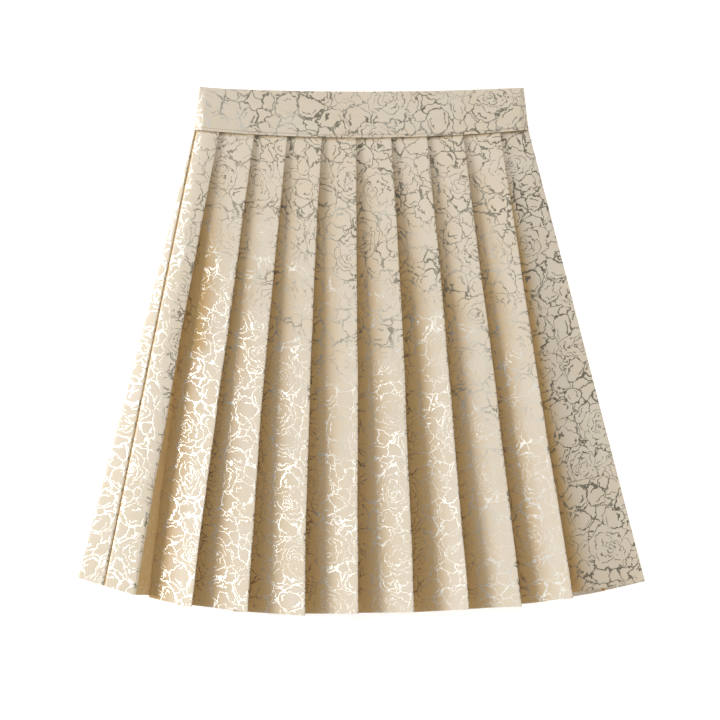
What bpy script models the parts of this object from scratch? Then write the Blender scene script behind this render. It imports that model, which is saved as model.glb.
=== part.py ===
"""Knife-pleated skirt lying flat on its back, with its front up.

X runs to the right, Y from the hem to the waist, Z up. Lengths are in metres.
Each sheet of cloth is a centre line in the X-Z plane at ten places between waist and hem. 'Down' is the
share of the way from the waist seam to the hem. The centre line is given a wall, and the ten sections are
joined into one closed solid.
The back is the front's pattern turned half round the Y axis and pressed flat.
"""

from collections import namedtuple

import bmesh
import bpy

WALL = 0.0010            # thickness of the brocade
BAND_WALL = 0.0020       # thickness of the folded waistband
GAP = 0.0003             # space between neighbouring pieces at a seam
LAYER = WALL + GAP       # distance from one pressed layer to the next
SECTIONS = 10            # sections between waist seam and hem

WAIST_HALF = 0.1695      # half the width just below the waist seam
HEM_HALF = 0.2874        # half the width at the hem
SEAM_Y = 0.2148          # height of the waist seam at the centre
SEAM_RISE = 0.0081       # how much higher the waist seam is at the sides
HEM_Y = -0.2660          # height of the hem at the centre
HEM_RISE_LEFT = 0.0351   # how much higher the hem is at the left side
HEM_RISE_RIGHT = 0.0314  # and at the right side
HEM_ROUNDNESS = 2.4      # exponent of the hem's curve
SIDE_SEAM_WAIST = 0.0020  # how far the side seams lie inside the outline at the waist
SIDE_SEAM_HEM = 0.0274    # and at the hem

BACK_THICKNESS = 0.0041  # the pressed back, from the surface below to its upper face
FRONT_BASE = 0.0052      # height of the front's valley folds
PRESSED_HEIGHT = 0.0031  # height of a fold over its valley where the pleats are pressed flat
FOLD_SWELL = 0.0014      # how much higher the front's folds stand halfway down than a straight line
EDGE_WAIST = 0.0036      # height of the rounded side edges at the waist
EDGE_HEM = 0.0024        # and at the hem
EDGE_BEVEL = 0.0005      # corner cut off the side edges
LEAN_WAIST = 4.0         # how quickly the first panel climbs at the waist
LEAN_HEM = 1.15          # and at the hem
FIRST_PANEL_POINTS = 6   # points across the first panel
STRIP_POINTS = 3         # points from the left edge to the left seam
BACK_FIRST_POINTS = 3    # points across the back's first panel
LAST_PANEL_SHARES = (0.12, 0.24, 0.36, 0.5, 0.64, 0.78, 0.88, 0.94)  # points across the last panel
LAST_PANEL_SWELL = 0.0090  # how far the last front panel swells up at the hem
SWELL_GROWTH = 1.3       # how that swelling grows from waist to hem
SWELL_START = 1.4        # exponents of the swelling's shape, which peaks a third of the way across
SWELL_END = 2.8
EDGE_DROP = 8            # how sharply the last panel drops to the side edge

RISE_WAIST = 0.0150      # width over which a pressed panel climbs out of its valley at the waist
RISE_HEM = 0.0200        # and at the front's hem
RISE_BACK_HEM = 0.0120   # and at the back's hem
LEAD_SHARE = 0.16        # how far under the fold that climb begins, as a share of the fold's height
CLIMB_SHARE = 0.85       # part of the height that a front panel gains in that climb, a back one all
CLIMB_STEPS = 5          # straight pieces that make up the climb
LEAN_FROM = 0.30         # share of the way down from which the front's panels only lean

BAND_HALF_TOP = 0.1645   # half the waistband's width at its top edge
BAND_HALF_BOTTOM = 0.1693  # and at the waist seam
BAND_TOP_Y = 0.2620      # height of the waistband's top edge at the centre
BAND_TOP_RISE = 0.0040   # how much higher that edge is at the sides
BAND_FRONT_BOTTOM = 0.0080  # height of the front band's centre at the waist seam
BAND_FRONT_TOP = 0.0036  # and at its top edge
BAND_BACK_LEVEL = 0.0010  # height of the back band's centre
BAND_ROLL = 0.0070       # width over which the front band's ends curve down
BAND_ROLL_STEPS = 4      # straight pieces that make up such a curve
BAND_COLUMNS = 16        # straight pieces between those curves
BAND_ROWS = 4            # rows from waist seam to top edge
BACK_BAND_PEEK = 0.0016  # how far the back band shows over the front band at the left
BACK_BAND_DROP = 0.0004  # how far its top edge is below the front band's elsewhere
BACK_BAND_PEEK_WIDTH = 0.0500  # width over which it shows

CLOTH_COLOUR = (0.807, 0.701, 0.558, 1.0)
BAND_COLOUR = (0.658, 0.565, 0.434, 1.0)
CLOTH_ROUGHNESS = 0.55
CLOTH_METALLIC = 0.15
SHARP_ANGLE = 0.6        # angle in radians above which an edge is shaded sharp

Fold = namedtuple(
    "Fold", "waist_x hem_x bow underlap_waist underlap_hem height_hem curve_hem hem_tip hem_right")

# A point of a section, with the Y at which its column meets the hem.
Point = namedtuple("Point", "x z hem")

# The nine folds of the front from left to right. Bow is how far the fold's middle lies off the
# straight line between its ends. Curve is how much of the panel left of the fold is rounded at the hem,
# the rest being straight, and below zero it is hollow. Hem tip and hem right are the hem's Y at the fold
# and beside it on its right.
# The first pleat stands open at the hem, so its underlap is negative there.
FRONT_FOLDS = (
    Fold(-0.1441, -0.2293, -0.0010, 0.012, -0.014, 0.0135, 0.00, -0.2466, -0.2483),
    Fold(-0.1087, -0.1712, -0.0005, 0.020, 0.0150, 0.0185, 0.10, -0.2581, -0.2579),
    Fold(-0.0753, -0.1147, -0.0026, 0.020, 0.0150, 0.0205, 0.05, -0.2627, -0.2647),
    Fold(-0.0400, -0.0568, -0.0035, 0.020, 0.0140, 0.0205, 0.05, -0.2668, -0.2666),
    Fold(-0.0056, -0.0033, 0.0000, 0.020, 0.0170, 0.0200, 0.05, -0.2646, -0.2659),
    Fold(0.0298, 0.0524, 0.0020, 0.020, 0.0150, 0.0195, 0.01, -0.2634, -0.2654),
    Fold(0.0662, 0.1076, 0.0010, 0.020, 0.0150, 0.0180, -0.25, -0.2609, -0.2614),
    Fold(0.1027, 0.1612, 0.0005, 0.020, 0.0140, 0.0165, 0.05, -0.2581, -0.2563),
    Fold(0.1401, 0.2120, -0.0005, 0.020, 0.0150, 0.0185, 0.05, -0.2493, -0.2448),
)

BACK_FIRST_UNDERLAP = 0.0080
BACK_UNDERLAP_HEM = 0.0175

BACK_FOLDS = tuple(
    fold._replace(
        underlap_waist=BACK_FIRST_UNDERLAP if number == 0 else fold.underlap_waist,
        underlap_hem=BACK_UNDERLAP_HEM,
        height_hem=PRESSED_HEIGHT,
        curve_hem=0.0,
    )
    for number, fold in enumerate(FRONT_FOLDS)
)


def between(first, last, share):
    """The value at a share of the way from the first to the last."""
    return first + (last - first) * share


def spaced(first, last, count):
    """Evenly spaced values from first to last."""
    return [first + (last - first) * number / (count - 1) for number in range(count)]


def eased(share):
    """A climb from 0 to 1 that starts and ends level."""
    share = min(max(share, 0.0), 1.0)
    return share * share * (3.0 - 2.0 * share)


def slowing(share):
    """A climb from 0 to 1 that starts steep and ends level."""
    share = min(max(share, 0.0), 1.0)
    return share * (2.0 - share)


def side_x(down):
    """Half the skirt's width."""
    return between(WAIST_HALF, HEM_HALF, down)


def side_seam_inset(down):
    return between(SIDE_SEAM_WAIST, SIDE_SEAM_HEM, down)


def edge_height(down):
    return between(EDGE_WAIST, EDGE_HEM, down)


def fold_x(fold, down):
    return between(fold.waist_x, fold.hem_x, down) + fold.bow * 4.0 * down * (1.0 - down)


def fold_height(fold, down):
    """How high a fold stands over its valley. The back's folds stay pressed."""
    if fold.height_hem == PRESSED_HEIGHT:
        return PRESSED_HEIGHT
    return between(PRESSED_HEIGHT, fold.height_hem, down) + FOLD_SWELL * 4.0 * down * (1.0 - down)


def underlap(fold, down):
    """How far the valley lies to the left of the fold: the return below the fold keeps its length."""
    drop_hem = fold.height_hem - 2.0 * LAYER
    drop = fold_height(fold, down) - 2.0 * LAYER
    length_hem = (fold.underlap_hem**2 + drop_hem**2) ** 0.5
    length = between(fold.underlap_waist, length_hem, down)
    if fold.underlap_hem > 0.0:
        return max(length**2 - drop**2, 0.0) ** 0.5
    return between(fold.underlap_waist, fold.underlap_hem, down)


def fold_and_valley(fold, down, base):
    """The fold's lower corner and the two corners of the valley at the end of its return."""
    x = fold_x(fold, down)
    valley_x = x - underlap(fold, down)
    top = base + fold_height(fold, down)
    return [
        Point(x, top - LAYER, fold.hem_tip),
        Point(valley_x, base + LAYER, fold.hem_right),
        Point(valley_x, base, fold.hem_right),
    ]


def panel_between(fold, following, down, base):
    """The panel from one fold's valley, under that fold and up to the next fold's upper corner.

    Near the waist it gains its height in a short climb. Towards the front's hem it only leans.
    The back's panels are level past the climb, so the skirt rests on a flat underside.
    """
    start = fold_x(fold, down)
    hidden = underlap(fold, down)
    width = fold_x(following, down) - start
    height = fold_height(following, down)
    is_pressed = following.height_hem == PRESSED_HEIGHT
    climb_share = 1.0 if is_pressed else CLIMB_SHARE
    rise = between(RISE_WAIST, RISE_BACK_HEM if is_pressed else RISE_HEM, down)
    leaning = 0.0 if is_pressed else eased(down / LEAN_FROM)
    lowest = max(-LEAD_SHARE * fold_height(fold, down), LAYER - hidden)
    points = []
    for offset in spaced(lowest, rise, CLIMB_STEPS + 1) + [width]:
        even = (offset + hidden) / (width + hidden)
        climb = slowing((offset - lowest) / (rise - lowest))
        stepped = climb_share * climb + (1.0 - climb_share) * even
        leant = following.curve_hem * slowing(even) + (1.0 - following.curve_hem) * even
        hem = between(fold.hem_right, following.hem_tip, max(offset / width, 0.0))
        points.append(Point(start + offset, base + height * between(stepped, leant, leaning), hem))
    return points


def first_panel_height(x, down):
    """Height of the panel that leans from the left edge up to the first fold."""
    fold = FRONT_FOLDS[0]
    left = -side_x(down)
    share = (x - left) / (fold_x(fold, down) - left)
    climbed = 1.0 - (1.0 - min(share, 1.0)) ** between(LEAN_WAIST, LEAN_HEM, down)
    top = FRONT_BASE + fold_height(fold, down)
    return between(edge_height(down), top, climbed)


def swollen(share):
    """The last panel's swelling, 1 at its peak."""
    peak = SWELL_START / (SWELL_START + SWELL_END)
    return (share / peak) ** SWELL_START * ((1.0 - share) / (1.0 - peak)) ** SWELL_END


def seam_y(x):
    """Y of the waist seam."""
    return SEAM_Y + SEAM_RISE * (x / WAIST_HALF) ** 2


def hem_y(x):
    """Y of the back's hem."""
    rise = HEM_RISE_LEFT if x < 0.0 else HEM_RISE_RIGHT
    return HEM_Y + rise * abs(x / HEM_HALF) ** HEM_ROUNDNESS


def first_hem_y(x, down):
    """Y of the hem between the left edge and the first fold."""
    fold = FRONT_FOLDS[0]
    left = -side_x(down)
    return between(hem_y(-HEM_HALF), fold.hem_tip, (x - left) / (fold_x(fold, down) - left))


def front_section(down):
    """Centre line of the front: left seam, first panel, nine pleats, last panel, right edge, right seam."""
    half = side_x(down)
    seam = -half + side_seam_inset(down) + GAP / 2.0
    line = []
    for x in spaced(seam, fold_x(FRONT_FOLDS[0], down), FIRST_PANEL_POINTS):
        line.append(Point(x, first_panel_height(x, down), first_hem_y(x, down)))
    for fold, following in zip(FRONT_FOLDS, FRONT_FOLDS[1:]):
        line += fold_and_valley(fold, down, FRONT_BASE)
        line += panel_between(fold, following, down, FRONT_BASE)
    last = FRONT_FOLDS[-1]
    line += fold_and_valley(last, down, FRONT_BASE)
    edge_x = half - WALL / 2.0
    edge_hem = hem_y(HEM_HALF)
    valley = line[-1].x
    drop = FRONT_BASE - edge_height(down)
    swell = LAST_PANEL_SWELL * down**SWELL_GROWTH
    for share in LAST_PANEL_SHARES:
        x = valley + (edge_x - EDGE_BEVEL - valley) * share
        past_fold = (x - fold_x(last, down)) / (edge_x - fold_x(last, down))
        height = FRONT_BASE - drop * share**EDGE_DROP + swell * swollen(share)
        line.append(Point(x, height, between(last.hem_right, edge_hem, max(past_fold, 0.0))))
    line.append(Point(edge_x - EDGE_BEVEL, edge_height(down), edge_hem))
    line.append(Point(edge_x, edge_height(down) - EDGE_BEVEL, edge_hem))
    line.append(Point(edge_x, WALL / 2.0 + EDGE_BEVEL, edge_hem))
    line.append(Point(edge_x - EDGE_BEVEL, WALL / 2.0, edge_hem))
    seam = half - side_seam_inset(down) + GAP / 2.0
    line.append(Point(seam, WALL / 2.0, hem_y(seam)))
    return line


def back_section(down):
    """Centre line of the back: right seam, nine pressed pleats, last panel, left edge, left seam."""
    half = side_x(down)
    base = WALL / 2.0
    seam = -half + side_seam_inset(down) + GAP / 2.0
    first = fold_x(BACK_FOLDS[0], down)
    line = [Point(x, base + PRESSED_HEIGHT, 0.0) for x in spaced(seam, first, BACK_FIRST_POINTS)]
    for fold, following in zip(BACK_FOLDS, BACK_FOLDS[1:]):
        line += fold_and_valley(fold, down, base)
        line += panel_between(fold, following, down, base)
    last = BACK_FOLDS[-1]
    side_edge = last._replace(waist_x=WAIST_HALF, hem_x=HEM_HALF, bow=0.0)
    line += fold_and_valley(last, down, base)
    line += panel_between(last, side_edge, down, base)[:-1]
    turned = [Point(-point.x, BACK_THICKNESS - point.z, hem_y(-point.x)) for point in line]
    edge_x = -half + WALL / 2.0
    edge_hem = hem_y(-HEM_HALF)
    turned.append(Point(edge_x + EDGE_BEVEL, WALL / 2.0, edge_hem))
    turned.append(Point(edge_x, WALL / 2.0 + EDGE_BEVEL, edge_hem))
    turned.append(Point(edge_x, edge_height(down) - EDGE_BEVEL, edge_hem))
    over = -half + side_seam_inset(down) - GAP / 2.0
    for x in spaced(edge_x + EDGE_BEVEL, over, STRIP_POINTS):
        turned.append(Point(x, first_panel_height(x, down), first_hem_y(x, down)))
    return turned


def moved_out(line, distance):
    """The line's X and Z moved sideways by a distance, to its left, with mitred corners."""
    moved = []
    for number, point in enumerate(line):
        before = line[max(number - 1, 0)]
        after = line[min(number + 1, len(line) - 1)]
        normals = []
        for start, end in ((before, point), (point, after)):
            length = ((end.x - start.x) ** 2 + (end.z - start.z) ** 2) ** 0.5
            if length > 0.0:
                normals.append((-(end.z - start.z) / length, (end.x - start.x) / length))
        along = sum(normal[0] for normal in normals)
        up = sum(normal[1] for normal in normals)
        scale = distance * len(normals) / (along**2 + up**2)
        moved.append((point.x + along * scale, point.z + up * scale))
    return moved


def walled(name, outer, inner, colour):
    """One closed solid between two grids of points, outer above inner to the left of its direction."""
    rows = len(outer)
    columns = len(outer[0])
    mesh = bpy.data.meshes.new(name)
    shape = bmesh.new()
    sides = [[[shape.verts.new(point) for point in row] for row in grid] for grid in (outer, inner)]
    over, under = sides
    for row in range(rows - 1):
        for column in range(columns - 1):
            near, far = column, column + 1
            shape.faces.new((over[row][near], over[row + 1][near], over[row + 1][far], over[row][far]))
            shape.faces.new((under[row][near], under[row][far], under[row + 1][far], under[row + 1][near]))
        for column, flip in ((0, False), (columns - 1, True)):
            strip = (over[row][column], under[row][column], under[row + 1][column], over[row + 1][column])
            shape.faces.new(strip[::-1] if flip else strip)
    for row, flip in ((0, False), (rows - 1, True)):
        for column in range(columns - 1):
            near, far = column, column + 1
            cap = (over[row][near], over[row][far], under[row][far], under[row][near])
            shape.faces.new(cap[::-1] if flip else cap)
    bmesh.ops.recalc_face_normals(shape, faces=shape.faces)
    shape.to_mesh(mesh)
    shape.free()
    mesh.shade_smooth()
    mesh.set_sharp_from_angle(angle=SHARP_ANGLE)
    mesh.materials.append(cloth_material(name + "_cloth", colour))
    piece = bpy.data.objects.new(name, mesh)
    bpy.context.collection.objects.link(piece)
    return piece


def cloth_material(name, colour):
    material = bpy.data.materials.new(name)
    material.use_nodes = True
    surface = material.node_tree.nodes["Principled BSDF"]
    surface.inputs["Base Color"].default_value = colour
    surface.inputs["Roughness"].default_value = CLOTH_ROUGHNESS
    surface.inputs["Metallic"].default_value = CLOTH_METALLIC
    return material


def pleated_sheet(name, section):
    """A pleated piece between the waist seam and the hem."""
    waist = section(0.0)
    hem = section(1.0)
    grids = ([], [])
    for number in range(SECTIONS):
        down = number / (SECTIONS - 1)
        line = section(down)
        for grid, distance in zip(grids, (WALL / 2.0, -WALL / 2.0)):
            row = []
            for (x, z), at_waist, at_hem in zip(moved_out(line, distance), waist, hem):
                row.append((x, between(seam_y(at_waist.x) - GAP, at_hem.hem, down), z))
            grid.append(row)
    return walled(name, grids[0], grids[1], CLOTH_COLOUR)


def band_line(half, level, end_level):
    """Centre line of one half of the waistband, whose ends curve down to a lower level."""
    roll = []
    for step in range(1, BAND_ROLL_STEPS + 1):
        share = step / BAND_ROLL_STEPS
        z = level - (level - end_level) * share**2
        roll.append(Point(half - BAND_ROLL * (1.0 - share), z, 0.0))
    flat = [Point(x, level, 0.0) for x in spaced(BAND_ROLL - half, half - BAND_ROLL, BAND_COLUMNS + 1)]
    return [point._replace(x=-point.x) for point in roll[::-1]] + flat + roll


def waistband_half(name, is_front):
    """The front or the back of the waistband, from the waist seam up to its top edge."""
    grids = ([], [])
    for number in range(BAND_ROWS):
        up = number / (BAND_ROWS - 1)
        front_level = between(BAND_FRONT_BOTTOM, BAND_FRONT_TOP, up)
        half = between(BAND_HALF_BOTTOM, BAND_HALF_TOP, up)
        level = front_level if is_front else BAND_BACK_LEVEL
        line = band_line(half, level, BAND_BACK_LEVEL + BAND_WALL + GAP if is_front else level)
        for grid, distance in zip(grids, (BAND_WALL / 2.0, -BAND_WALL / 2.0)):
            row = []
            for (x, z), centre in zip(moved_out(line, distance), line):
                top = BAND_TOP_Y + BAND_TOP_RISE * (centre.x / BAND_HALF_TOP) ** 2
                if not is_front:
                    shown = max(1.0 - (centre.x + half) / BACK_BAND_PEEK_WIDTH, 0.0)
                    top += BACK_BAND_PEEK * shown - BACK_BAND_DROP
                row.append((x, between(seam_y(centre.x), top, up), z))
            grid.append(row)
    return walled(name, grids[0], grids[1], BAND_COLOUR)


def rest_on_origin(pieces):
    """Moves all points so that the origin is the middle of the underside."""
    points = [vertex for piece in pieces for vertex in piece.data.vertices]
    shift = []
    for axis in range(3):
        values = [vertex.co[axis] for vertex in points]
        low = min(values)
        shift.append(low if axis == 2 else (low + max(values)) / 2.0)
    for vertex in points:
        for axis in range(3):
            vertex.co[axis] -= shift[axis]


def main():
    for existing in list(bpy.data.objects):
        bpy.data.objects.remove(existing, do_unlink=True)
    pieces = [
        pleated_sheet("front_panel", front_section),
        pleated_sheet("back_panel", back_section),
        waistband_half("waistband_front", True),
        waistband_half("waistband_back", False),
    ]
    rest_on_origin(pieces)


main()
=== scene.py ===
"""Dresses the pleated skirt: jacquard cloth, waistband, topstitching, floor, light and camera.

All lengths are in metres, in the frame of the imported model: X to the right, Y to the waist, Z up.
"""

import math
from collections import namedtuple

import bpy
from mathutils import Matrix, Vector


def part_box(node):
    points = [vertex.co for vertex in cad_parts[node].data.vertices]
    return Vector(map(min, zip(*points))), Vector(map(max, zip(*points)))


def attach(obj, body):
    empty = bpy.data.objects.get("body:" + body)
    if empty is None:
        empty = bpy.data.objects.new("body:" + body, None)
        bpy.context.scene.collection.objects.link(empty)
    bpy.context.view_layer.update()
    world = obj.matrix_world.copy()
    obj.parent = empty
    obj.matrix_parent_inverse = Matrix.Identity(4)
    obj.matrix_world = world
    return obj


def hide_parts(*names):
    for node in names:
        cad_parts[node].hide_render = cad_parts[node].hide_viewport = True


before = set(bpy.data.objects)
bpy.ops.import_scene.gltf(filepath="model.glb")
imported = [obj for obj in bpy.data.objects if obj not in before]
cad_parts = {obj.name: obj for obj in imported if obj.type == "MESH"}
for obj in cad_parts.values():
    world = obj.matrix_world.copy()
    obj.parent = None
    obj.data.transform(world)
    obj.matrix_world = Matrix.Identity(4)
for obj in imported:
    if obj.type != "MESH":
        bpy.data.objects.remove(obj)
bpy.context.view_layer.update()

bl_info = {
    "name": "Pleated skirt",
    "version": (1, 0, 0),
    "blender": (4, 5, 0),
    "location": "3D Viewport > Sidebar > Skirt",
    "description": "Makes the cloth, waistband, stitching and stage of a knife-pleated skirt",
    "category": "Object",
}

FRONT_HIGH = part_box("front_panel")[1]
BAND_LOW, BAND_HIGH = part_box("waistband_front")

HEM_HALF = FRONT_HIGH.x
SEAM_Y = BAND_LOW.y
# The table's hem heights and the view were set when the seam lay here.
SHIFT_Y = SEAM_Y - 0.2148
HEM_Y = -0.2660
BAND_TOP_SIDE_Y = BAND_HIGH.y
WAIST_HALF = 0.1695
SEAM_RISE = 0.0081
HEM_RISE_LEFT = 0.0351
HEM_RISE_RIGHT = 0.0314
HEM_ROUNDNESS = 2.4
SIDE_SEAM_WAIST = 0.0020
SIDE_SEAM_HEM = 0.0274
WALL = 0.0007
LAYER = 0.0010

BACK_THICKNESS = 0.0030
FRONT_BASE = 0.0041
PRESSED_HEIGHT = 0.0023
FOLD_SWELL = 0.0014
EDGE_WAIST = 0.0030
EDGE_HEM = 0.0040
LEAN_WAIST = 2.4
LEAN_HEM = 1.02
LAST_PANEL_SWELL = 0.0090
SWELL_GROWTH = 0.8
SWELL_START = 1.4
SWELL_END = 2.8
EDGE_DROP = 8
RISE_WAIST = 0.0150
LEAD_SHARE = 0.16
RISE_HEM = 0.0200
RISE_BACK_HEM = 0.0120
LEAN_FROM = 0.30

# Points of a panel: under the fold, close to it, and on from there.
HIDDEN_STEPS = 4
CLIMB_STEPS = 14
PANEL_STEPS = 12

# Painted shade, from 0 to 1: how deep in a pleat a point is, which turns the cloth's colour warmer and
# darker in place of the shade there.
PAINTED_SHADE_FULL_HEIGHT = 0.0090
FIRST_PANEL_PAINTED_SHADE = 0.75
WAIST_SEAM_PAINTED_SHADE = 0.5
LAST_PANEL_PAINTED_SHADE = 0.8
LAST_PANEL_SHADE_FADE = 0.0090
LAST_PANEL_HEM_PAINTED_SHADE = 0.24

BAND_HALF_TOP = 0.1645
BAND_HALF_BOTTOM = 0.1693
BAND_TOP_RISE = 0.0040
BAND_FRONT_BOTTOM = 0.0067
BAND_FRONT_TOP = 0.0036
BAND_BACK_LEVEL = 0.0010
BAND_END_LEVEL = 0.0033
BAND_ROLL = 0.0070
BACK_BAND_PEEK = 0.0016
BACK_BAND_DROP = 0.0004
BACK_BAND_PEEK_WIDTH = 0.0500
BAND_HALF_WALL = 0.00095
BAND_RIPPLE = 0.00022
STITCH_REACH_FRONT = 0.00098
STITCH_REACH_BACK = -0.00098 * 0.92
# Painted highlight on the band's thread: brighter toward its left end, as if the level band leant to the
# left.
BAND_PAINTED_SHINE_LEFT = 0.19
BAND_PAINTED_SHINE_MIDDLE = 0.12
BAND_PAINTED_SHINE_REACH = 0.12

Fold = namedtuple(
    "Fold", "waist_x hem_x bow underlap_waist underlap_hem height_hem curve_hem hem_tip hem_right")

# The nine folds of the front from left to right, as in the solids.
FRONT_FOLDS = (
    Fold(-0.1441, -0.2293, -0.0010, 0.012, -0.014, 0.0135, 0.00, -0.2466, -0.2483),
    Fold(-0.1087, -0.1712, -0.0005, 0.020, 0.0150, 0.0185, 0.10, -0.2581, -0.2579),
    Fold(-0.0753, -0.1147, -0.0026, 0.020, 0.0150, 0.0205, 0.05, -0.2627, -0.2647),
    Fold(-0.0400, -0.0568, -0.0035, 0.020, 0.0140, 0.0205, 0.05, -0.2668, -0.2666),
    Fold(-0.0056, -0.0033, 0.0000, 0.020, 0.0170, 0.0200, 0.05, -0.2646, -0.2659),
    Fold(0.0298, 0.0524, 0.0020, 0.020, 0.0150, 0.0195, 0.01, -0.2634, -0.2654),
    Fold(0.0662, 0.1076, 0.0010, 0.020, 0.0150, 0.0180, -0.25, -0.2609, -0.2614),
    Fold(0.1027, 0.1612, 0.0005, 0.020, 0.0140, 0.0165, 0.05, -0.2581, -0.2563),
    Fold(0.1401, 0.2120, -0.0005, 0.020, 0.0150, 0.0185, 0.05, -0.2493, -0.2448),
)
BACK_FIRST_UNDERLAP = 0.0080
BACK_UNDERLAP_HEM = 0.0175
BACK_FOLDS = tuple(
    fold._replace(
        underlap_waist=BACK_FIRST_UNDERLAP if number == 0 else fold.underlap_waist,
        underlap_hem=BACK_UNDERLAP_HEM,
        height_hem=PRESSED_HEIGHT,
        curve_hem=0.0,
        hem_tip=0.0,
        hem_right=0.0,
    )
    for number, fold in enumerate(FRONT_FOLDS)
)


def metres(name, about, value):
    """A setting that is a length."""
    return bpy.props.FloatProperty(name=name, description=about, default=value, unit="LENGTH")


def plain(name, about, value):
    """A setting that is a bare number."""
    return bpy.props.FloatProperty(name=name, description=about, default=value)


def tint(name, about, value):
    """A setting that is a colour."""
    return bpy.props.FloatVectorProperty(
        name=name, description=about, subtype="COLOR", size=3, default=value)


class SkirtClothSettings(bpy.types.PropertyGroup):
    """Sizes of the cloth shells."""

    rows: bpy.props.IntProperty(
        name="Rows", description="Rows of faces between waist seam and hem", default=80, min=10)
    waver: metres("Waver", "How far the folds wander from a straight line", 0.0006)
    groove: metres("Groove", "How far the cloth dips at a seam", 0.0010)
    bend: metres("Fold bend", "Length of cloth rounded off at a pressed fold", 0.0006)


class SkirtJacquardSettings(bpy.types.PropertyGroup):
    """Colours and sizes of the jacquard."""

    ground: tint("Ground", "Champagne satin between the lines", (0.70, 0.615, 0.495))
    ground_warm: tint("Warm ground", "Yellower stretches of the satin", (0.695, 0.60, 0.46))
    # Painted highlight: silver is the thread kept dark on level cloth, the bright silver the same thread
    # painted lit where the cloth leans to the left.
    silver: tint("Silver", "Metal thread of the figured lines", (0.35, 0.315, 0.235))
    painted_highlight_silver: tint(
        "Bright silver", "Metal thread where the cloth leans to the left", (0.77, 0.745, 0.68))
    # Painted shade: colours of the satin and thread deep between the pleats and at the seams.
    painted_shade_ground: tint("Inner ground", "Satin deep between the pleats", (0.49, 0.315, 0.125))
    painted_shade_silver: tint("Inner silver", "Metal thread deep between the pleats", (0.52, 0.38, 0.20))
    ridge: plain("Ridge", "Slope of the raised lines' sides", 0.05)
    lean: plain("Lean", "How far the metal floats lean to the left", 0.22)
    # Painted shade: how far the satin takes on its painted shade colour.
    painted_shade_strength: plain("Warmth", "How far the satin takes on the inner colour", 1.0)
    rose_pitch: metres("Rose spacing", "Distance between neighbouring roses", 0.062)
    rose_radius: metres("Rose size", "Radius of the smallest rose", 0.0185)
    rose_growth: metres("Rose variation", "How much larger the largest rose is", 0.0070)
    petal_pitch: metres("Petal spacing", "Distance between neighbouring petals", 0.023)
    cell: metres("Cells", "Size of the small cells between the petals", 0.013)
    line_thin: metres("Thin line", "Width of the thinnest line", 0.00085)
    line_thick: metres("Thick line", "Width of the thickest line", 0.0014)
    puff: metres("Puff", "How far the ground stands up between the lines", 0.00009)
    weft: metres("Weft", "Distance between the floats that dot the lines", 0.0011)


class SkirtStitchSettings(bpy.types.PropertyGroup):
    """Sizes and colour of the topstitching."""

    pitch: metres("Pitch", "Distance from one stitch to the next", 0.0019)
    length: metres("Stitch", "Length of a stitch", 0.0013)
    thread: metres("Thread", "Thickness of the thread", 0.00055)
    inset: metres("Inset", "Distance from the waist seam to the stitches", 0.0028)
    colour: tint("Thread colour", "Tan thread", (0.40, 0.25, 0.11))


class SkirtStageSettings(bpy.types.PropertyGroup):
    """Camera and light."""

    camera_height: metres("Camera height", "Height of the camera over the floor", 2.0)
    view_width: metres("View width", "Width of floor in the picture", 0.7311)
    view_x: metres("View centre X", "Floor point in the middle of the picture", -0.0015)
    view_y: metres("View centre Y", "Floor point in the middle of the picture", -0.0102)
    key_power: plain("Key light", "Power of the low light at the left", 222.0)
    waist_power: plain("Waist light", "Power of the light beyond the waist", 15.0)
    hem_power: plain("Hem light", "Power of the light beyond the hem", 25.0)
    right_power: plain("Right light", "Power of the light above the right side", 11.0)
    sky: plain("Sky", "Strength of the light from all round, which fades overhead", 0.53)


def between(at_waist, at_hem, down):
    """The value at a share 'down' of the way from waist to hem."""
    return at_waist + (at_hem - at_waist) * down


def eased(share):
    """A climb from 0 to 1 that starts and ends level."""
    share = min(max(share, 0.0), 1.0)
    return share * share * (3.0 - 2.0 * share)


def slowing(share):
    """A climb from 0 to 1 that starts steep and ends level."""
    share = min(max(share, 0.0), 1.0)
    return share * (2.0 - share)


def waver(down, seed):
    """A smooth wandering value between about -1 and 1."""
    total = 0.0
    for number, waves in enumerate((1.3, 2.9, 5.7)):
        phase = math.sin(seed * 12.9898 + number * 78.233) * 43.7585
        total += math.sin(2.0 * math.pi * (waves * down + phase)) / (1.0 + number)
    return total / 1.6


def side_x(down):
    return between(WAIST_HALF, HEM_HALF, down)


def side_seam_inset(down):
    return between(SIDE_SEAM_WAIST, SIDE_SEAM_HEM, down)


def edge_height(down):
    return between(EDGE_WAIST, EDGE_HEM, down)


def seam_y(x):
    return SEAM_Y + SEAM_RISE * (x / WAIST_HALF) ** 2


def hem_y(x):
    rise = HEM_RISE_LEFT if x < 0.0 else HEM_RISE_RIGHT
    return HEM_Y + rise * abs(x / HEM_HALF) ** HEM_ROUNDNESS


def first_hem_y(down, x):
    """Hem of the panel at the left, between the side edge and the first fold."""
    left = -side_x(down)
    fold = FRONT_FOLDS[0]
    return between(hem_y(-HEM_HALF), fold.hem_tip, (x - left) / (fold_x(fold, down) - left))


def fold_x(fold, down):
    straight = between(fold.waist_x, fold.hem_x, down) + fold.bow * 4.0 * down * (1.0 - down)
    settings = bpy.context.scene.skirt_cloth
    return straight + settings.waver * eased(down * 3.0) * waver(down, fold.waist_x * 90.0)


def fold_height(fold, down):
    if fold.height_hem == PRESSED_HEIGHT:
        return PRESSED_HEIGHT
    return between(PRESSED_HEIGHT, fold.height_hem, down) + FOLD_SWELL * 4.0 * down * (1.0 - down)


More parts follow.
